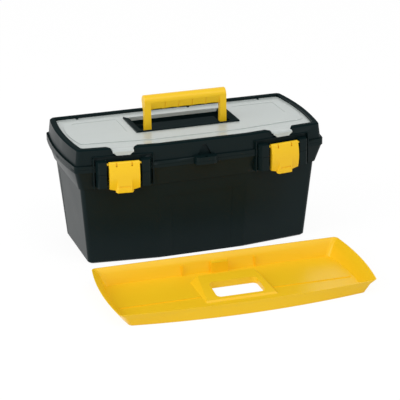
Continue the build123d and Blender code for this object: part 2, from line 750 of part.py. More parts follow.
def tab(side):
    """Tab at the cover's front: over the lid's frame and down in front of its face."""
    crown = cover_bottom + cover_thickness + tab_crown
    inner = cover_edge_depth + ledge_width
    bend = tab_thickness - tab_out
    over = frame_width / 2
    section = polygon(facet_section(side), (inner, cover_bottom), (inner, cover_bottom + cover_thickness),
                      (inner - over, crown), (bend, crown), (-tab_out, crown - tab_thickness),
                      (-tab_out, tab_foot), (bend, tab_foot), (bend, crown - 2 * tab_thickness + tab_play),
                      (inner - over, crown - tab_thickness))
    outline = polygon(facet_face(side, tab_out), (-tab_foot_half, tab_foot), (tab_foot_half, tab_foot),
                      (tab_half, tab_foot + tab_cut), (tab_bend_half, cover_bottom),
                      (tab_top_half, cover_bottom), (tab_top_half, lid_top), (-tab_top_half, lid_top),
                      (-tab_top_half, cover_bottom), (-tab_bend_half, cover_bottom),
                      (-tab_half, tab_foot + tab_cut))
    with BuildPart() as block:
        extrude(section, amount=tab_top_half, both=True)
        extrude(tab_plan(side, tab_foot, -tab_out), amount=lid_top - tab_foot, mode=Mode.INTERSECT)
        extrude(outline, amount=-(tab_out + inner), mode=Mode.INTERSECT)
    return block.part


tabs = [tab(side) for side in SIDES]


# Clear cover: plate with a raised field, hinge tongues behind and two tabs in front
with BuildPart() as clear_cover:
    cover_inset = frame_width + cover_clearance
    cover_top = cover_bottom + cover_thickness
    extrude(lid_plan(cover_bottom, cover_inset), amount=cover_thickness)
    for web, level, mode in ((0, cover_top, Mode.ADD), (field_web, cover_bottom, Mode.SUBTRACT)):
        field_plan = plan(level, lid_length_half - cover_inset - field_end - web,
                          lid_back - cover_inset - field_back - web,
                          lid_front - cover_inset - field_front - web,
                          end_bow)
        extrude(field_plan, amount=cover_raise, mode=mode)
    # sunk panel over each pair of bins
    for side in SIDES:
        outer_front = -emboss_front + (emboss_outer - emboss_inner) * rise
        with BuildSketch(Plane.XY.offset(cover_top + cover_raise)) as emboss:
            with BuildLine():
                Polyline((side * emboss_inner, -emboss_front), (side * emboss_outer, outer_front),
                         (side * emboss_outer, emboss_back), (side * emboss_inner, emboss_back), close=True)
            make_face()
            chamfer(emboss.vertices(), emboss_corner)
        extrude(emboss.sketch, amount=-emboss_depth, mode=Mode.SUBTRACT)
    # opening for the handle
    opening = rectangle(cover_bottom, -cutout_half, cutout_half, -cutout_front, cutout_back)
    extrude(opening, amount=cover_thickness + cover_raise, mode=Mode.SUBTRACT)
    # notches round the lid's ears, and the pegs that turn in the outer ones
    notch_front = cover_axis_y - ear_radius - ear_gap
    for side in SIDES:
        for place, end in zip(tongue_places, (-side, side)):
            tongue_side = side * place + end * tongue_half
            notch_places = sorted((tongue_side, tongue_side + end * (ear_width + 2 * ear_gap)))
            notch = rectangle(cover_bottom, *notch_places, notch_front, frame_back)
            extrude(notch, amount=cover_thickness, mode=Mode.SUBTRACT)
        peg = disc(across(tongue_side - side * ear_gap), (cover_axis_y, cover_axis_z), cover_peg_radius)
        extrude(peg, amount=side * (cover_peg_length + 2 * ear_gap))
    for block in tabs:
        add(block)
clear_cover.part.label = "clear_cover"
export_step(clear_cover.part, "parts/clear_cover.step")


# Flange under the cover's raised field, along the rear edge of the handle's opening
with BuildPart() as cover_flange:
    flange_foot = well_rear_top + seat_gap
    flange = rectangle(flange_foot, -flange_half, flange_half, cutout_back, cutout_back + flange_thickness)
    extrude(flange, amount=cover_bottom + cover_raise - flange_foot)
cover_flange.part.label = "cover_flange"
export_step(cover_flange.part, "parts/cover_flange.step")


# Folding handle: finger grip on two flat legs that turn on pegs
with BuildPart() as carry_handle:
    grip_level = handle_top - grip_radius
    grip_foot = handle_top - grip_depth
    with BuildSketch(across()) as grip_section:
        with Locations((grip_back, grip_level)):
            Circle(grip_radius)
        with BuildLine():
            Polyline((grip_back - grip_foot_half, grip_foot + grip_foot_rise),
                     (grip_back - grip_foot_flat, grip_foot), (grip_back + grip_foot_flat, grip_foot),
                     (grip_back + grip_foot_half, grip_foot + grip_foot_rise))
        make_hull()
    extrude(grip_section.sketch, amount=handle_half, both=True)
    chamfer(carry_handle.faces().filter_by(Axis.X).edges(), handle_end_chamfer)
    # finger hollows under the grip
    finger_half = finger_pitch / 2 - finger_land
    finger_radius = (finger_half ** 2 + finger_depth ** 2) / (2 * finger_depth)
    finger_level = grip_foot + finger_depth - finger_radius
    for finger in range(finger_count):
        finger_place = (finger - (finger_count - 1) / 2) * finger_pitch
        hollow = disc(Plane.XZ.offset(-grip_back), (finger_place, finger_level), finger_radius)
        extrude(hollow, amount=grip_radius, both=True, mode=Mode.SUBTRACT)
    leg_front = grip_back - grip_radius + leg_set_back
    for side in SIDES:
        leg_places = sorted((side * handle_half, side * (handle_half - leg_width)))
        leg = rectangle(handle_axis_level, *leg_places, leg_front, leg_front + leg_thickness)
        extrude(leg, amount=grip_level - handle_axis_level)
        axis = (handle_axis_back, handle_axis_level)
        leg_end = disc(across(side * (handle_half - leg_width)), axis, leg_end_radius)
        extrude(leg_end, amount=side * leg_width)
        peg = disc(across(side * handle_half), axis, handle_peg_radius)
        extrude(peg, amount=side * (leg_slot_outer + handle_peg_length - handle_half))
carry_handle.part.label = "carry_handle"
export_step(carry_handle.part, "parts/carry_handle.step")


def plate_line(inwards):
    """Points down a latch's bulged face, set in from it."""
    points = []
    for step in range(latch_plate_steps + 1):
        share = step / latch_plate_steps
        out = latch_axis_out + latch_barrel
        out += (latch_foot_out - out) * share + 4 * latch_bulge * share * (1 - share)
        points.append((inwards - out, latch_axis_level + (latch_bottom - latch_axis_level) * share))
    return points


# Latches: barrel with a peg at each end, bulged plate with skirts, and a hollow thumb wedge
for side, name in zip(SIDES, ("left_latch", "right_latch")):
    middle = facet_section(side)
    wedge_knee = latch_bottom
    with BuildPart() as wedge:
        wedge_section = polygon(middle, (-latch_foot_out + latch_plate, latch_wedge_top),
                                (-latch_wedge_top_out, latch_wedge_top), (-latch_wedge_out, wedge_knee),
                                (-latch_wedge_out + latch_lip_lean, latch_lip_bottom),
                                (-latch_foot_out, latch_lip_bottom),
                                (-latch_foot_out + latch_plate, latch_bottom))
        extrude(wedge_section, amount=latch_wedge_half, both=True)
        wedge_plan = polygon(facet_level(side, latch_lip_bottom),
                             (-latch_wedge_half, 0), (latch_wedge_half, 0),
                             (latch_wedge_half, -latch_foot_out), (latch_wedge_face_half, -latch_wedge_out),
                             (-latch_wedge_face_half, -latch_wedge_out), (-latch_wedge_half, -latch_foot_out))
        extrude(wedge_plan, amount=latch_wedge_top - latch_lip_bottom, mode=Mode.INTERSECT)
    with BuildPart() as latch:
        plate = polygon(middle, *plate_line(0), *reversed(plate_line(latch_plate)))
        extrude(plate, amount=latch_half, both=True)
        extrude(disc(middle, (-latch_axis_out, latch_axis_level), latch_barrel), amount=latch_half, both=True)
        # side skirts behind the plate's edges
        for end in (-1, 1):
            skirt_plane = facet_section(side, end * (latch_half - latch_skirt / 2))
            skirt = polygon(skirt_plane, *plate_line(latch_plate / 4), (-latch_skirt_in, latch_bottom),
                            (-latch_skirt_in, latch_axis_level))
            extrude(skirt, amount=latch_skirt / 2, both=True)
        # thumb wedge with a hollow back
        add(wedge.part)
        wedge_hollow = polygon(middle, (0, latch_wedge_top),
                               (-latch_wedge_top_out + latch_plate, latch_wedge_top),
                               (-latch_wedge_out + latch_plate, wedge_knee),
                               (-latch_wedge_out + latch_plate, latch_lip_bottom + latch_skirt),
                               (0, latch_lip_bottom + latch_skirt))
        extrude(wedge_hollow, amount=latch_wedge_face_half - latch_skirt, both=True, mode=Mode.SUBTRACT)
        # lower flange that rests before the catch
        flange = polygon(middle, (-latch_skirt_in, latch_bottom),
                         (-latch_foot_out + latch_plate / 2, latch_bottom),
                         (-latch_foot_out + latch_plate / 2, latch_bottom + latch_lip_height),
                         (-latch_skirt_in, latch_bottom + latch_lip_height))
        extrude(flange, amount=latch_half, both=True)
        # shallow grip slot across the wedge
        grip_top = latch_grip_level + latch_grip_height
        grip = polygon(facet_face(side, latch_wedge_out), (-latch_grip_half, latch_grip_level),
                       (latch_grip_half, latch_grip_level), (latch_grip_half, grip_top),
                       (-latch_grip_half, grip_top))
        extrude(grip, amount=-latch_grip_depth, mode=Mode.SUBTRACT)
        # notches in the head
        latch_head = latch_axis_level + latch_barrel
        notch_front = -latch_axis_out - latch_barrel
        for end in (-1, 1):
            notch = polygon(facet_section(side, end * latch_notch_place), (notch_front, latch_notch_level),
                            (notch_front + latch_notch_depth, latch_notch_level),
                            (notch_front + latch_notch_depth, latch_head),
                            (notch_front - latch_notch_depth, latch_head),
                            (notch_front - latch_notch_depth, latch_notch_level))
            extrude(notch, amount=latch_notch_width / 2, both=True, mode=Mode.SUBTRACT)
        # outline seen from the front, with raised lower corners
        lip_edge = latch_wedge_half - latch_lip_chamfer
        lip_knee = latch_lip_bottom + latch_lip_chamfer
        outline = polygon(facet_face(side, 0), (-latch_half, latch_head), (-latch_half, latch_corner_level),
                          (-latch_wedge_half, latch_bottom), (-latch_wedge_half, lip_knee),
                          (-lip_edge, latch_lip_bottom), (lip_edge, latch_lip_bottom),
                          (latch_wedge_half, lip_knee), (latch_wedge_half, latch_bottom),
                          (latch_half, latch_corner_level), (latch_half, latch_head))
        extrude(outline, amount=latch_wedge_out, mode=Mode.INTERSECT)
        # pegs that turn in the guards
        pegs = disc(middle, (-latch_axis_out, latch_axis_level), latch_peg_radius)
        extrude(pegs, amount=guard_inner + latch_peg_length, both=True)
    latch.part.label = name
    export_step(latch.part, f"parts/{name}.step")


# Steel hinge pins
for side, name in zip(SIDES, ("left_hinge_pin", "right_hinge_pin")):
    with BuildPart() as pin:
        pin_half = hinge_lid_knuckle / 2 + hinge_gap + hinge_base_knuckle
        pin_end = disc(across(side * hinge_place), (hinge_axis_back, hinge_axis_level), hinge_pin_radius)
        extrude(pin_end, amount=pin_half, both=True)
    pin.part.label = name
    export_step(pin.part, f"parts/{name}.step")


def tray_plan(plane, length_half, back, front, front_bow, inset=0.0):
    """Tray's plan on a plane: straight back, bowed ends and a bowed front."""
    middle = (back - front) / 2
    with BuildSketch(plane) as shape:
        with BuildLine():
            Line((-length_half, back), (length_half, back))
            ThreePointArc((length_half, back), (length_half + tray_end_bow, middle), (length_half, -front))
            ThreePointArc((length_half, -front), (0, -front - front_bow), (-length_half, -front))
            ThreePointArc((-length_half, -front), (-length_half - tray_end_bow, middle), (-length_half, back))
        make_face()
        if inset:
            offset(amount=-inset, kind=Kind.INTERSECTION, mode=Mode.REPLACE)
        fillet(shape.vertices(), tray_corner)
    return shape.sketch


def tilted(level):
    """Plane across the tray that rises towards the back, at a level over the tray's middle."""
    return Plane((tray_x, tray_y, level), x_dir=tray_level.x_dir, z_dir=tray_rise)


def tray_stages(floor_level, inset):
    """The tray's level foot and its tilted waist and rim plans, drawn in by an inset."""
    foot = tray_plan(tray_level.offset(floor_level), tray_foot_length_half, tray_foot_back, tray_foot_front,
                     tray_foot_front_bow, inset)
    waist = tray_plan(tilted(tray_waist), tray_waist_length_half, tray_waist_back, tray_waist_front,
                      tray_waist_front_bow, inset)
    rim = tray_plan(tilted(tray_height), tray_rim_length_half, tray_rim_back, tray_rim_front,
                    tray_rim_front_bow, inset)
    return [foot, waist, rim]


def tray_block(low, high, x_low, x_high, y_low, y_high, radius=0.0):
    """Upright block in the tray's own frame: its plan and its height."""
    with BuildSketch(tray_level.offset(low)) as shape:
        with Locations(((x_low + x_high) / 2, (y_low + y_high) / 2)):
            Rectangle(x_high - x_low, y_high - y_low)
        if radius:
            fillet(shape.vertices(), radius)
    return shape.sketch, high - low


island_outside = island(0.0)
island_inside = island(tray_floor)

hole_low = hand_hole_middle - hand_hole_half
hole_high = hand_hole_middle + hand_hole_half

# Island round the hand hole, with a collar down the hole's edge
with BuildPart() as hand_island:
    add(island_outside)
    add(island_inside, mode=Mode.SUBTRACT)
    collar, collar_height = tray_block(0, island_level,
                                       hole_low - hand_hole_collar, hole_high + hand_hole_collar,
                                       -hand_hole_front - hand_hole_collar, hand_hole_back + hand_hole_collar,
                                       hand_hole_radius + hand_hole_collar)
    extrude(collar, amount=collar_height)
    add(island_outside, mode=Mode.INTERSECT)

# Upright ribs and a boss inside the tray's back wall
inner_back = tray_foot_back - tray_wall
with BuildPart() as back_ribs:
    for side in SIDES:
        rib, rib_height = tray_block(tray_floor, tray_rib_top, side * tray_rib_place - tray_rib_width / 2,
                                     side * tray_rib_place + tray_rib_width / 2, inner_back - tray_rib_depth,
                                     tray_waist_back)
        extrude(rib, amount=rib_height)
    boss, boss_height = tray_block(tray_floor, tray_boss_top, -tray_boss_half, tray_boss_half,
                                   inner_back - tray_boss_depth, tray_waist_back)
    extrude(boss, amount=boss_height)
    loft(tray_stages(0, tray_wall / 2), ruled=True, mode=Mode.INTERSECT)

# Lift-out tray: shallow bowed dish with the island in its floor
with BuildPart() as lift_out_tray:
    loft(tray_stages(0, 0), ruled=True)
    loft(tray_stages(tray_floor, tray_wall), ruled=True, mode=Mode.SUBTRACT)
    for side in SIDES:
        ridge_places = sorted((side * island_half, side * tray_foot_length_half))
        ridge, ridge_height = tray_block(tray_floor, tray_floor + tray_ridge_height, *ridge_places,
                                         -tray_ridge_place - tray_ridge_width / 2,
                                         -tray_ridge_place + tray_ridge_width / 2)
        extrude(ridge, amount=ridge_height)
    add(back_ribs.part)
    add(island_inside, mode=Mode.SUBTRACT)
    add(hand_island.part)
    hole, hole_height = tray_block(-tray_floor, island_level + tray_floor, hole_low, hole_high,
                                   -hand_hole_front, hand_hole_back, hand_hole_radius)
    extrude(hole, amount=hole_height, mode=Mode.SUBTRACT)
lift_out_tray.part.label = "lift_out_tray"
export_step(lift_out_tray.part, "parts/lift_out_tray.step")
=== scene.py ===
"""Moulded tool box with a clear organizer cover, a folding handle and a lift-out tray.

Everything is in metres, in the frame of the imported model: +X along the box, +Y to the hinges, +Z up.
"""

import json
from math import cos, radians, sin

import bpy
from bpy.props import FloatProperty, FloatVectorProperty, IntProperty, PointerProperty
from mathutils import Matrix, Vector


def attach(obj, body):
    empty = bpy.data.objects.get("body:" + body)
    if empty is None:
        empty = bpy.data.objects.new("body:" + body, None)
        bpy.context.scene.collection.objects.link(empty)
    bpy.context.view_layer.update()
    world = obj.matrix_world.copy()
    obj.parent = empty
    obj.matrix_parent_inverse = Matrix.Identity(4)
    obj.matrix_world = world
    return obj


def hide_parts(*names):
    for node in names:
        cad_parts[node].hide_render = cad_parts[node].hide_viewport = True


bl_info = {
    "name": "Tool box looks",
    "version": (1, 0, 0),
    "blender": (4, 5, 0),
    "location": "3D View > Sidebar > Tool box",
    "description": "Finishes a moulded tool box around its packed frame",
    "category": "Object",
}

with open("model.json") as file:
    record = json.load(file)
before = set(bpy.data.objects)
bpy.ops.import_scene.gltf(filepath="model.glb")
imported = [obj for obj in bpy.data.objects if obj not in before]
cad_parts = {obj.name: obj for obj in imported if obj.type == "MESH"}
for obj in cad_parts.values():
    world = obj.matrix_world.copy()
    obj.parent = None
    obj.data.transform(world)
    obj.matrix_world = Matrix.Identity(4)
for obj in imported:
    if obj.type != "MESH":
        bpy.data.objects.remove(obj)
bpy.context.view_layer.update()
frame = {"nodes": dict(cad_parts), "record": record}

# CAD nodes that each moulding is divided into
BASE_NODES = ("base_shell", "base_eye")
LID_NODES = ("lid_shell", "lid_eye", "well_middle", "well_left", "well_right", "front_middle_bin",
             "rear_middle_bin", "left_bins", "right_bins")
COVER_NODES = ("clear_cover", "cover_flange")

# Meshes: angles from which an edge is rounded or shaded sharp, shares of the edge radius for thin
# pieces, and the rise of its normal from which a face looks up
MERGE_DISTANCE = 0.00002
BEVEL_ANGLE = radians(32)
SMOOTH_ANGLE = radians(34)
COVER_EDGE_SHARE = 0.5
PIN_EDGE_SHARE = 0.25
TOP_MARK = "dull"
TOP_RISE = 0.5

# Grooves between the finger hollows, on the grip's front
GROOVE_X = (-0.042, -0.014, 0.014, 0.042)
GROOVE_Y = -0.01668
GROOVE_Z = 0.28204
GROOVE_SIZE = (0.0012, 0.0024, 0.0132)
GROOVE_LEAN = radians(16.5)

# Surfaces: the fine grain, the slow drift of colour and roughness, and the black's specular level
GRAIN_DEPTH = 0.0001
GRAIN_DETAIL = 2.0
DRIFT_SCALE = 14.0
DRIFT_DETAIL = 3.0
DRIFT_MIDDLE = 0.5
SIDE_SHINE = 0.12
TOP_SHINE_CHANGE = -0.09

# Stage: each lamp has a name, a place, a width and its share of the key lamp's power
WHITE = (1, 1, 1, 1)
FLOOR_SIZE = 30
FLOOR_DROP = 0.0006
FLOOR_PAINT = (0.82, 0.82, 0.82, 1)
FLOOR_GLOW = 1.06
SKY_SHOWN = 1.0
LAMPS = (("key", (0.5, -2.2, 2.6), 2.0, 1.0),
         ("side", (-2.6, -0.6, 1.4), 1.6, 1.1))
LAMP_AIM = (0, -0.1, 0.1)
PHOTO_WIDTH = 400
CLIP_END = 100


# Settings

class ToolboxFinish(bpy.types.PropertyGroup):
    """Colours and surfaces of the pieces"""

    black: FloatVectorProperty(
        name="Black plastic", description="Colour of the base and the lid",
        subtype="COLOR", size=3, min=0, max=1, default=(0.0030, 0.0092, 0.0100))
    yellow: FloatVectorProperty(
        name="Yellow plastic", description="Colour of the handle, the latches and the tray",
        subtype="COLOR", size=3, min=0, max=1, default=(0.970, 0.620, 0.014))
    amber: FloatVectorProperty(
        name="Deep yellow", description="Deeper colour that drifts through the yellow plastic",
        subtype="COLOR", size=3, min=0, max=1, default=(0.930, 0.500, 0.010))
    clear: FloatVectorProperty(
        name="Clear plastic", description="Cloudy colour of the organizer cover",
        subtype="COLOR", size=3, min=0, max=1, default=(0.630, 0.685, 0.665))
    steel: FloatVectorProperty(
        name="Pin steel", description="Colour of the hinge pins",
        subtype="COLOR", size=3, min=0, max=1, default=(0.560, 0.570, 0.580))
    top_roughness: FloatProperty(
        name="Top roughness", description="Extra roughness of the black faces that look up",
        min=0, max=1, default=0.35)
    grain_size: FloatProperty(
        name="Grain size", description="Width of one grain of the mould's texture",
        unit="LENGTH", min=0.0001, default=0.0007, precision=5)
    edge_radius: FloatProperty(
        name="Edge radius", description="Rounding of the mouldings' edges",
        unit="LENGTH", min=0.0, default=0.0009, precision=5)
    edge_steps: IntProperty(
        name="Edge steps", description="Faces across a rounded edge", min=1, max=4, default=2)


class ToolboxStage(bpy.types.PropertyGroup):
    """Camera, lamps and floor"""

    azimuth: FloatProperty(
        name="Azimuth", description="Turn of the view round the box", subtype="ANGLE",
        default=radians(-18.497))
    elevation: FloatProperty(
        name="Elevation", description="Height of the view over the horizon", subtype="ANGLE",
        default=radians(20.645))
    roll: FloatProperty(
        name="Roll", description="Tilt of the picture", subtype="ANGLE", default=radians(-0.596))
    distance: FloatProperty(
        name="Distance", description="From the camera to the point it looks at",
        unit="LENGTH", default=3.29533)
    aim: FloatVectorProperty(
        name="Aim", description="Point that the camera looks at", subtype="XYZ", unit="LENGTH",
        default=(0.024925, -0.025061, 0.077909))
    focal_pixels: FloatProperty(
        name="Focal length", description="In pixels of the photograph", default=1650.0)
    sky: FloatProperty(
        name="Sky", description="Strength of the even light from all round", min=0, default=0.62)
    key: FloatProperty(
        name="Key lamp", description="Power of the large soft lamp over the front, in watts",
        min=0, default=26.0)
    floor_shadow: FloatProperty(
        name="Floor shadow", description="Share of the floor's brightness that shadows can take",
        subtype="FACTOR", min=0, max=1, default=0.14)


# Meshes

def deselect():
    """Leave edit mode with nothing selected."""
    if bpy.context.mode != "OBJECT":
        bpy.ops.object.mode_set(mode="OBJECT")
    bpy.ops.object.select_all(action="DESELECT")


def take(piece):
    """Make a piece the only one selected, and the active one."""
    deselect()
    piece.select_set(True)
    bpy.context.view_layer.objects.active = piece


def twin(node, name):
    """Copy of a CAD node's mesh as a new piece, with its loose triangles joined up."""
    source = frame["nodes"][node]
    piece = bpy.data.objects.new(name, source.data.copy())
    piece.data.name = name
    piece.data.materials.clear()
    bpy.context.scene.collection.objects.link(piece)
    take(piece)
    bpy.ops.object.mode_set(mode="EDIT")
    bpy.ops.mesh.select_all(action="SELECT")
    bpy.ops.mesh.remove_doubles(threshold=MERGE_DISTANCE)
    bpy.ops.object.mode_set(mode="OBJECT")
    return piece


def combine(piece, other, operation):
    """Fuse another mesh with a piece or cut it out of the piece, and remove that mesh."""
    take(piece)
    change = piece.modifiers.new("combine", "BOOLEAN")
    change.operation = operation
    change.object = other
    bpy.ops.object.modifier_apply(modifier=change.name)
    bpy.data.objects.remove(other)


def moulding(nodes, name):
    """One piece from the CAD nodes that a moulding is divided into, fused where they touch."""
    piece = twin(nodes[0], name)
    for node in nodes[1:]:
        combine(piece, twin(node, node + "_part"), "UNION")
    return piece


def cut_groove(piece, place, size, turn):
    """Cut a box-shaped groove out of a piece."""
    deselect()
    bpy.ops.mesh.primitive_cube_add(size=1, location=place, rotation=turn, scale=size)
    groove = bpy.context.active_object
    bpy.ops.object.transform_apply(location=True, rotation=True, scale=True)
    combine(piece, groove, "DIFFERENCE")


def round_edges(piece, radius, steps):
    """Round a piece's sharp edges and smooth its shading."""
    take(piece)
    bevel = piece.modifiers.new("edges", "BEVEL")
    bevel.width = radius
    bevel.segments = steps
    bevel.limit_method = "ANGLE"
    bevel.angle_limit = BEVEL_ANGLE
    bevel.use_clamp_overlap = True
    bevel.miter_outer = "MITER_ARC"
    bpy.ops.object.modifier_apply(modifier=bevel.name)
    bpy.ops.object.shade_smooth_by_angle(angle=SMOOTH_ANGLE)
    normals = piece.modifiers.new("normals", "WEIGHTED_NORMAL")
    normals.keep_sharp = True
    bpy.ops.object.modifier_apply(modifier=normals.name)
    deselect()


def mark_tops(piece):
    """Mark the faces that look up, which are duller than the upright ones, in a face attribute."""
    marks = piece.data.attributes.new(TOP_MARK, "FLOAT", "FACE")
    marks.data.foreach_set("value", [float(face.normal.z > TOP_RISE) for face in piece.data.polygons])


def settle(piece, nodes, material):
    """Give a piece its material and body, and hide the CAD nodes that it stands for."""
    piece.data.materials.clear()
    piece.data.materials.append(material)
    bodies = frame["record"]["behaviour"]["bodies"]
    body = next(name for name, members in bodies.items() if nodes[0] in members)
    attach(piece, body)
    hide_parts(*nodes)


# Shader nodes

def calculate(tree, operation, *values):
    """Output of a new Math node, whose inputs are numbers or other nodes' outputs."""
    node = tree.nodes.new("ShaderNodeMath")
    node.operation = operation
    for entry, value in zip(node.inputs, values):
        if isinstance(value, bpy.types.NodeSocket):
            tree.links.new(value, entry)
        else:
            entry.default_value = value
    return node.outputs[0]


def noise(tree, place, detail):
    """New noise node that reads a place."""
    node = tree.nodes.new("ShaderNodeTexNoise")
    node.inputs["Detail"].default_value = detail
    tree.links.new(place, node.inputs["Vector"])
    return node


def seen_directly(tree):
    """Output that is 1 for what is seen, mirrored or seen through plastic, and 0 for lighting."""
    rays = tree.nodes.new("ShaderNodeLightPath")
    direct = calculate(tree, "MAXIMUM", rays.outputs["Is Camera Ray"], rays.outputs["Is Glossy Ray"])
    return calculate(tree, "MAXIMUM", direct, rays.outputs["Is Transmission Ray"])


def grain_group():
    """Node group for a mould's texture: a fine grain, and a slow drift of colour and roughness."""
    name = "mould grain"
    if name in bpy.data.node_groups:
        return bpy.data.node_groups[name]
    tree = bpy.data.node_groups.new(name, "ShaderNodeTree")
    for label, kind, value in (("Grain Size", "NodeSocketFloat", 0.0007),
                               ("Colour", "NodeSocketColor", (0.5, 0.5, 0.5, 1)),
                               ("Second Colour", "NodeSocketColor", (0.4, 0.4, 0.4, 1)),
                               ("Mottling", "NodeSocketFloat", 0.3),
                               ("Roughness", "NodeSocketFloat", 0.4),
                               ("Roughness Spread", "NodeSocketFloat", 0.08)):
        made = tree.interface.new_socket(name=label, in_out="INPUT", socket_type=kind)
        made.default_value = value
    for label, kind in (("Colour", "NodeSocketColor"),
                        ("Roughness", "NodeSocketFloat"),
                        ("Height", "NodeSocketFloat")):
        tree.interface.new_socket(name=label, in_out="OUTPUT", socket_type=kind)
    given = tree.nodes.new("NodeGroupInput").outputs
    result = tree.nodes.new("NodeGroupOutput").inputs
    place = tree.nodes.new("ShaderNodeTexCoord").outputs["Object"]
    fine = noise(tree, place, GRAIN_DETAIL)
    tree.links.new(calculate(tree, "DIVIDE", 1.0, given["Grain Size"]), fine.inputs["Scale"])
    slow = noise(tree, place, DRIFT_DETAIL)
    slow.inputs["Scale"].default_value = DRIFT_SCALE
    drift = slow.outputs["Fac"]
    blend = tree.nodes.new("ShaderNodeMix")
    blend.data_type = "RGBA"
    tree.links.new(calculate(tree, "MULTIPLY", drift, given["Mottling"]), blend.inputs["Factor"])
    tree.links.new(given["Colour"], blend.inputs["A"])
    tree.links.new(given["Second Colour"], blend.inputs["B"])
    centred = calculate(tree, "SUBTRACT", drift, DRIFT_MIDDLE)
    rough = calculate(tree, "MULTIPLY_ADD", centred, given["Roughness Spread"], given["Roughness"])
    tree.links.new(blend.outputs["Result"], result["Colour"])
    tree.links.new(rough, result["Roughness"])
    tree.links.new(fine.outputs["Fac"], result["Height"])
    return tree


# Materials

def moulded(name, colour, second, roughness, grain_size, bump, specular, mottling=0.5):
    """Surface whose colour and roughness drift, with the mould's fine grain in its bump."""
    material = bpy.data.materials.new(name)
    material.use_nodes = True
    tree = material.node_tree
    shader = tree.nodes["Principled BSDF"].inputs
    grain = tree.nodes.new("ShaderNodeGroup")
    grain.node_tree = grain_group()
    for label, value in (("Grain Size", grain_size), ("Colour", (*colour, 1)),
                         ("Second Colour", (*second, 1)), ("Mottling", mottling),
                         ("Roughness", roughness)):
        grain.inputs[label].default_value = value
    relief = tree.nodes.new("ShaderNodeBump")
    relief.inputs["Strength"].default_value = bump
    relief.inputs["Distance"].default_value = GRAIN_DEPTH
    tree.links.new(grain.outputs["Height"], relief.inputs["Height"])
    tree.links.new(grain.outputs["Colour"], shader["Base Color"])
    tree.links.new(grain.outputs["Roughness"], shader["Roughness"])
    tree.links.new(relief.outputs["Normal"], shader["Normal"])
    shader["Specular IOR Level"].default_value = specular
    return material


def tinted(colour, factor):
    """A colour made darker or lighter by a factor."""
    return tuple(min(1.0, value * factor) for value in colour)


def black_plastic(finish):
    """Fine-grained black plastic of the base and the lid, duller where it looks up."""
    material = moulded("black_plastic", finish.black, tinted(finish.black, factor=1.6), roughness=0.37,
                       grain_size=finish.grain_size, bump=0.25, specular=SIDE_SHINE)
    tree = material.node_tree
    shader = tree.nodes["Principled BSDF"].inputs
    marks = tree.nodes.new("ShaderNodeAttribute")
    marks.attribute_name = TOP_MARK
    top = marks.outputs["Fac"]
    drift = shader["Roughness"].links[0].from_socket
    rough = calculate(tree, "MULTIPLY_ADD", top, finish.top_roughness, drift)
    shine = calculate(tree, "MULTIPLY_ADD", top, TOP_SHINE_CHANGE, SIDE_SHINE)
    tree.links.new(rough, shader["Roughness"])
    tree.links.new(shine, shader["Specular IOR Level"])
    return material


def yellow_plastic(finish):
    """Satin yellow plastic of the handle, the latches and the tray."""
    return moulded("yellow_plastic", finish.yellow, finish.amber, roughness=0.34,
                   grain_size=finish.grain_size, bump=0.12, specular=0.30, mottling=0.35)


def clear_plastic(finish):
    """Cloudy clear plastic of the organizer cover."""
    material = moulded("clear_plastic", finish.clear, tinted(finish.clear, factor=1.12), roughness=0.22,
                       grain_size=finish.grain_size * 2, bump=0.05, specular=0.5)
    shader = material.node_tree.nodes["Principled BSDF"].inputs
    shader["Transmission Weight"].default_value = 0.25
    return material


def pin_steel(finish):
    """Drawn steel of the hinge pins."""
    material = moulded("pin_steel", finish.steel, tinted(finish.steel, factor=0.8), roughness=0.28,
                       grain_size=finish.grain_size, bump=0.2, specular=0.5)
    shader = material.node_tree.nodes["Principled BSDF"].inputs
    shader["Metallic"].default_value = 1.0
    return material


def floor_finish(shadow):
    """White floor that shows as the background does and keeps part of the shadows."""
    material = bpy.data.materials.new("white_floor")
    material.use_nodes = True
    tree = material.node_tree
    tree.nodes.clear()
    paint = tree.nodes.new("ShaderNodeBsdfDiffuse")
    paint.inputs["Color"].default_value = FLOOR_PAINT
    glow = tree.nodes.new("ShaderNodeEmission")
    glow.inputs["Strength"].default_value = FLOOR_GLOW
    mix = tree.nodes.new("ShaderNodeMixShader")
    leave = tree.nodes.new("ShaderNodeOutputMaterial")
    tree.links.new(calculate(tree, "MULTIPLY", seen_directly(tree), 1 - shadow), mix.inputs["Fac"])
    tree.links.new(paint.outputs["BSDF"], mix.inputs[1])
    tree.links.new(glow.outputs["Emission"], mix.inputs[2])
    tree.links.new(mix.outputs["Shader"], leave.inputs["Surface"])
    return material


# Operators: one for each piece or group of like pieces, and one for the stage

class TOOLBOX_OT_shells(bpy.types.Operator):
    """Make the black base and lid mouldings"""

    bl_idname = "toolbox.shells"
    bl_label = "Base and lid"

    def execute(self, context):
        finish = context.scene.toolbox_finish
        plastic = black_plastic(finish)
        for nodes, name in ((BASE_NODES, "base_body"), (LID_NODES, "lid_body")):
            piece = moulding(nodes, name)
            round_edges(piece, finish.edge_radius, finish.edge_steps)
            mark_tops(piece)
            settle(piece, nodes, plastic)
        return {"FINISHED"}


class TOOLBOX_OT_cover(bpy.types.Operator):
    """Make the clear organizer cover"""

    bl_idname = "toolbox.cover"
    bl_label = "Clear cover"

    def execute(self, context):
        finish = context.scene.toolbox_finish
        piece = moulding(COVER_NODES, "cover_sheet")
        round_edges(piece, finish.edge_radius * COVER_EDGE_SHARE, finish.edge_steps)
        settle(piece, COVER_NODES, clear_plastic(finish))
        return {"FINISHED"}


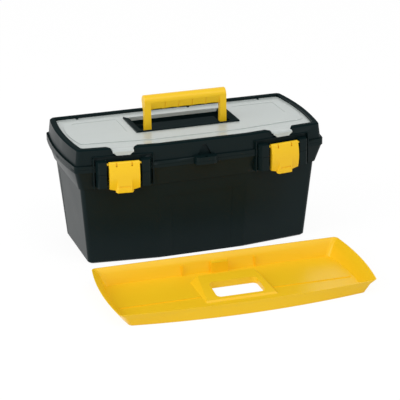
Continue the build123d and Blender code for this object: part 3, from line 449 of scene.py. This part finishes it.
class TOOLBOX_OT_yellow_parts(bpy.types.Operator):
    """Make the handle, the two latches and the lift-out tray"""

    bl_idname = "toolbox.yellow_parts"
    bl_label = "Handle, latches and tray"

    def execute(self, context):
        finish = context.scene.toolbox_finish
        plastic = yellow_plastic(finish)
        for node, name in (("carry_handle", "handle_grip"), ("left_latch", "latch_left"),
                           ("right_latch", "latch_right"), ("lift_out_tray", "tray_dish")):
            piece = twin(node, name)
            if node == "carry_handle":
                self.grooves(piece)
            round_edges(piece, finish.edge_radius, finish.edge_steps)
            settle(piece, (node,), plastic)
        return {"FINISHED"}

    def grooves(self, piece):
        """Thin grooves between the finger hollows, on the grip's front."""
        for place in GROOVE_X:
            cut_groove(piece, (place, GROOVE_Y, GROOVE_Z), GROOVE_SIZE, (GROOVE_LEAN, 0, 0))


class TOOLBOX_OT_pins(bpy.types.Operator):
    """Make the steel hinge pins"""

    bl_idname = "toolbox.pins"
    bl_label = "Hinge pins"

    def execute(self, context):
        finish = context.scene.toolbox_finish
        steel = pin_steel(finish)
        for node, name in (("left_hinge_pin", "pin_left"), ("right_hinge_pin", "pin_right")):
            piece = twin(node, name)
            round_edges(piece, finish.edge_radius * PIN_EDGE_SHARE, finish.edge_steps)
            settle(piece, (node,), steel)
        return {"FINISHED"}


class TOOLBOX_OT_stage(bpy.types.Operator):
    """Set up the floor, the light and the camera"""

    bl_idname = "toolbox.stage"
    bl_label = "Floor, light and camera"

    def execute(self, context):
        stage = context.scene.toolbox_stage
        self.floor(stage)
        self.sky(context, stage)
        self.lamps(context, stage)
        self.camera(context, stage)
        context.scene.view_settings.view_transform = "Standard"
        return {"FINISHED"}

    def floor(self, stage):
        """Large white floor just under the box."""
        deselect()
        bpy.ops.mesh.primitive_plane_add(size=FLOOR_SIZE, location=(0, 0, -FLOOR_DROP))
        floor = bpy.context.active_object
        floor.name = "floor"
        bpy.ops.object.transform_apply(location=True, rotation=True, scale=True)
        floor.data.materials.append(floor_finish(stage.floor_shadow))

    def sky(self, context, stage):
        """Even light from all round, which shows as plain white."""
        world = bpy.data.worlds.new("studio")
        context.scene.world = world
        world.use_nodes = True
        tree = world.node_tree
        tree.nodes.clear()
        mix = tree.nodes.new("ShaderNodeMixShader")
        tree.links.new(seen_directly(tree), mix.inputs["Fac"])
        for entry, strength in ((1, stage.sky), (2, SKY_SHOWN)):
            light = tree.nodes.new("ShaderNodeBackground")
            light.inputs["Color"].default_value = WHITE
            light.inputs["Strength"].default_value = strength
            tree.links.new(light.outputs["Background"], mix.inputs[entry])
        leave = tree.nodes.new("ShaderNodeOutputWorld")
        tree.links.new(mix.outputs["Shader"], leave.inputs["Surface"])

    def lamps(self, context, stage):
        """Large soft lamp over the front, and a slightly stronger one from the left."""
        for name, place, width, share in LAMPS:
            data = bpy.data.lights.new(name, "AREA")
            data.shape = "SQUARE"
            data.size = width
            data.energy = stage.key * share
            lamp = bpy.data.objects.new(name, data)
            context.scene.collection.objects.link(lamp)
            lamp.location = place
            ahead = Vector(LAMP_AIM) - Vector(place)
            lamp.rotation_euler = ahead.to_track_quat("-Z", "Y").to_euler()

    def camera(self, context, stage):
        """Camera at the photograph's angle."""
        data = bpy.data.cameras.new("camera")
        data.sensor_fit = "HORIZONTAL"
        data.lens = stage.focal_pixels / PHOTO_WIDTH * data.sensor_width
        data.clip_end = CLIP_END
        camera = bpy.data.objects.new("camera", data)
        context.scene.collection.objects.link(camera)
        back = Vector((sin(stage.azimuth) * cos(stage.elevation),
                       -cos(stage.azimuth) * cos(stage.elevation),
                       sin(stage.elevation)))
        level = Vector((cos(stage.azimuth), sin(stage.azimuth), 0))
        upright = back.cross(level)
        right = cos(stage.roll) * level + sin(stage.roll) * upright
        up = -sin(stage.roll) * level + cos(stage.roll) * upright
        turn = Matrix((right, up, back)).transposed().to_4x4()
        camera.matrix_world = Matrix.Translation(Vector(stage.aim) + stage.distance * back) @ turn
        context.scene.camera = camera


OPERATORS = (TOOLBOX_OT_shells, TOOLBOX_OT_cover, TOOLBOX_OT_yellow_parts, TOOLBOX_OT_pins,
             TOOLBOX_OT_stage)


class TOOLBOX_PT_sidebar(bpy.types.Panel):
    """Sidebar panel with the settings and the operators"""

    bl_label = "Tool box"
    bl_idname = "TOOLBOX_PT_sidebar"
    bl_space_type = "VIEW_3D"
    bl_region_type = "UI"
    bl_category = "Tool box"

    def draw(self, context):
        layout = self.layout
        for group in (context.scene.toolbox_finish, context.scene.toolbox_stage):
            box = layout.box()
            for name in group.__annotations__:
                box.prop(group, name)
        for operator in OPERATORS:
            layout.operator(operator.bl_idname)


CLASSES = (ToolboxFinish, ToolboxStage, *OPERATORS, TOOLBOX_PT_sidebar)


def register():
    """Register the classes and hang the settings on the scene."""
    for item in CLASSES:
        bpy.utils.register_class(item)
    bpy.types.Scene.toolbox_finish = PointerProperty(type=ToolboxFinish)
    bpy.types.Scene.toolbox_stage = PointerProperty(type=ToolboxStage)


def unregister():
    """Take the settings and the classes away again."""
    del bpy.types.Scene.toolbox_stage
    del bpy.types.Scene.toolbox_finish
    for item in reversed(CLASSES):
        bpy.utils.unregister_class(item)


def main():
    """Make every piece and the stage."""
    register()
    bpy.ops.toolbox.shells()
    bpy.ops.toolbox.cover()
    bpy.ops.toolbox.yellow_parts()
    bpy.ops.toolbox.pins()
    bpy.ops.toolbox.stage()


if __name__ == "__main__":
    main()
